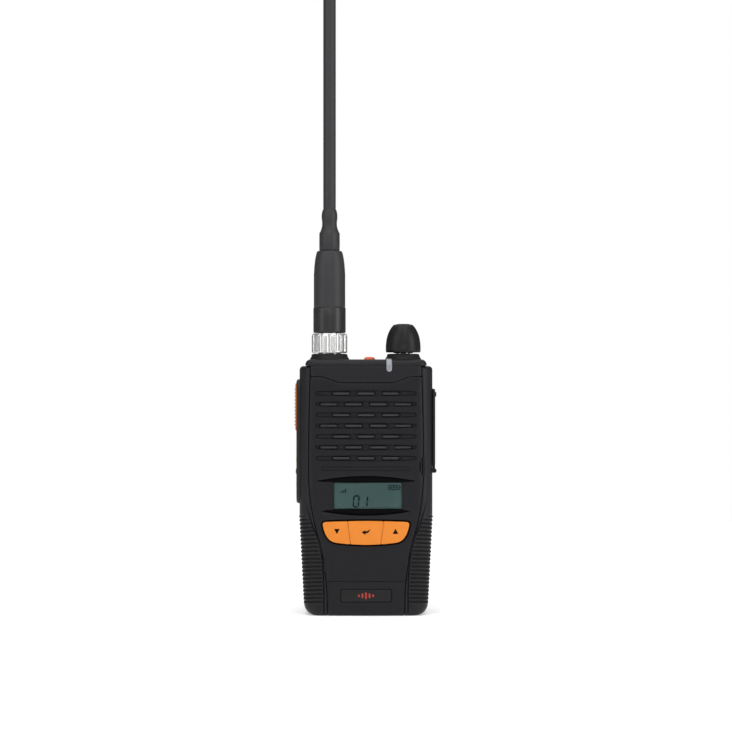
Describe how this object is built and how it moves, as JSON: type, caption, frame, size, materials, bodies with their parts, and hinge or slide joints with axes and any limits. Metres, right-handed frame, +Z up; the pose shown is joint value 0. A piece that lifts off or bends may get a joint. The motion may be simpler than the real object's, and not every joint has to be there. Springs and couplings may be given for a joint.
{
  "type": "portable two-way radio",
  "caption": "Handheld two-way radio with speaker grille, display, front and side keys, volume knob, fluted antenna nut, whip antenna, rear battery and belt clip.",
  "frame": {"origin": "middle of the flat base that the radio stands on, in the plane of the base", "axes": "+Z up along the antenna, -Y out of the front face, +X to the right as seen from the front"},
  "size_m": [0.0599, 0.0451, 0.36],
  "materials": {
    "housing": "fine spark-eroded texture, dark charcoal",
    "grip": "satin soft-touch moulding, near black",
    "back_shell": "textured black plastic",
    "soft_rubber": "matte black rubber",
    "plated_steel": "zinc plated",
    "mesh": "fine grey mesh",
    "clear_lens": "clear window",
    "display": "reflective liquid crystal panel, grey-green",
    "board": "green solder mask",
    "key_orange": "satin orange silicone keys",
    "gloss_black": "smooth satin black",
    "nickel": "bright nickel plate",
    "knob": "satin black",
    "alarm_orange": "smooth red-orange",
    "light_pipe": "milky clear light pipe",
    "gold": "gold plated",
    "cell_sleeve": "shrink sleeve",
    "black_steel": "black painted steel",
    "clip_plastic": "tough black plastic",
    "antenna_rubber": "smooth satin antenna jacket, dark grey",
    "copper": "enamelled copper wire"
  },
  "bodies": {
    "radio": {"front_housing": "housing", "top_cap": "housing", "left_grip": "grip", "right_grip": "grip", "rear_chassis": "back_shell", "housing_gasket": "soft_rubber", "housing_screws": "plated_steel", "speaker_mesh": "mesh", "speaker_frame": "plated_steel", "speaker_cone": "soft_rubber", "speaker_magnet": "plated_steel", "display_window": "clear_lens", "lcd_panel": "display", "key_mat": "soft_rubber", "keypad_board": "board", "badge_plate": "gloss_black", "main_board": "board", "rf_shield": "plated_steel", "microphone": "plated_steel", "antenna_socket": "nickel", "panel_nuts": "nickel", "antenna_collar": "back_shell", "knob_collar": "back_shell", "volume_control": "plated_steel", "alarm_switch": "board", "led_lens": "light_pipe", "side_bezel": "back_shell", "side_switches": "board", "jack_plate": "back_shell", "large_jack": "back_shell", "small_jack": "back_shell", "radio_contacts": "gold"},
    "down_key": {"down_key": "key_orange"},
    "enter_key": {"enter_key": "key_orange"},
    "up_key": {"up_key": "key_orange"},
    "ptt": {"ptt_button": "key_orange"},
    "upper_side_key": {"upper_side_key": "key_orange"},
    "lower_side_key": {"lower_side_key": "key_orange"},
    "alarm": {"alarm_button": "alarm_orange"},
    "volume": {"volume_knob": "knob", "volume_shaft": "nickel"},
    "cover": {"jack_cover": "soft_rubber"},
    "antenna": {"antenna_plug": "nickel", "lower_sleeve": "antenna_rubber", "antenna_base": "antenna_rubber", "loading_coil": "copper", "antenna_boot": "antenna_rubber", "whip": "antenna_rubber"},
    "nut": {"coupling_nut": "nickel"},
    "battery": {"battery_case": "back_shell", "battery_lid": "back_shell", "battery_cells": "cell_sleeve", "battery_board": "board", "latch_spring": "plated_steel", "clip_bracket": "black_steel", "clip_screws": "plated_steel", "clip_pin": "nickel", "clip_spring": "plated_steel"},
    "latch": {"battery_latch": "knob"},
    "clip": {"belt_clip": "clip_plastic"}
  },
  "joints": [
    {"name": "down_press", "type": "slide", "parent": "radio", "child": "down_key", "axis": [0, 1, 0], "range_m": [0, 0.0006], "stiffness_N_per_m": 2500},
    {"name": "enter_press", "type": "slide", "parent": "radio", "child": "enter_key", "axis": [0, 1, 0], "range_m": [0, 0.0006], "stiffness_N_per_m": 2500},
    {"name": "up_press", "type": "slide", "parent": "radio", "child": "up_key", "axis": [0, 1, 0], "range_m": [0, 0.0006], "stiffness_N_per_m": 2500},
    {"name": "ptt_press", "type": "slide", "parent": "radio", "child": "ptt", "axis": [1, 0, 0], "range_m": [0, 0.0012], "stiffness_N_per_m": 2500},
    {"name": "upper_side_press", "type": "slide", "parent": "radio", "child": "upper_side_key", "axis": [1, 0, 0], "range_m": [0, 0.0008], "stiffness_N_per_m": 2500},
    {"name": "lower_side_press", "type": "slide", "parent": "radio", "child": "lower_side_key", "axis": [1, 0, 0], "range_m": [0, 0.0008], "stiffness_N_per_m": 2500},
    {"name": "alarm_press", "type": "slide", "parent": "radio", "child": "alarm", "axis": [0, 0, -1], "range_m": [0, 0.0008], "stiffness_N_per_m": 2500},
    {"name": "volume_turn", "type": "hinge", "parent": "radio", "child": "volume", "pos_m": [0.0158, -0.006, 0.1], "axis": [0, 0, -1], "range_deg": [0, 290]},
    {"name": "jack_cover_open", "type": "hinge", "parent": "radio", "child": "cover", "pos_m": [0.029, -0.007, 0.0609], "axis": [0, 1, 0], "range_deg": [0, 110]},
    {"name": "antenna_lift", "type": "slide", "parent": "radio", "child": "antenna", "axis": [0, 0, 1], "range_m": [0, 0.03]},
    {"name": "nut_turn", "type": "hinge", "parent": "antenna", "child": "nut", "pos_m": [-0.0155, -0.006, 0.118], "axis": [0, 0, -1], "range_deg": [0, 90]},
    {"name": "battery_release", "type": "slide", "parent": "radio", "child": "battery", "axis": [0, 1, 0], "range_m": [0, 0.016]},
    {"name": "latch_slide", "type": "slide", "parent": "battery", "child": "latch", "axis": [0, 0, -1], "range_m": [0, 0.003], "stiffness_N_per_m": 800, "deforming": ["latch_spring"]},
    {"name": "clip_open", "type": "hinge", "parent": "battery", "child": "clip", "pos_m": [0, 0.023, 0.064], "axis": [1, 0, 0], "range_deg": [0, 20], "stiffness_Nm_per_rad": 0.4}
  ]
}
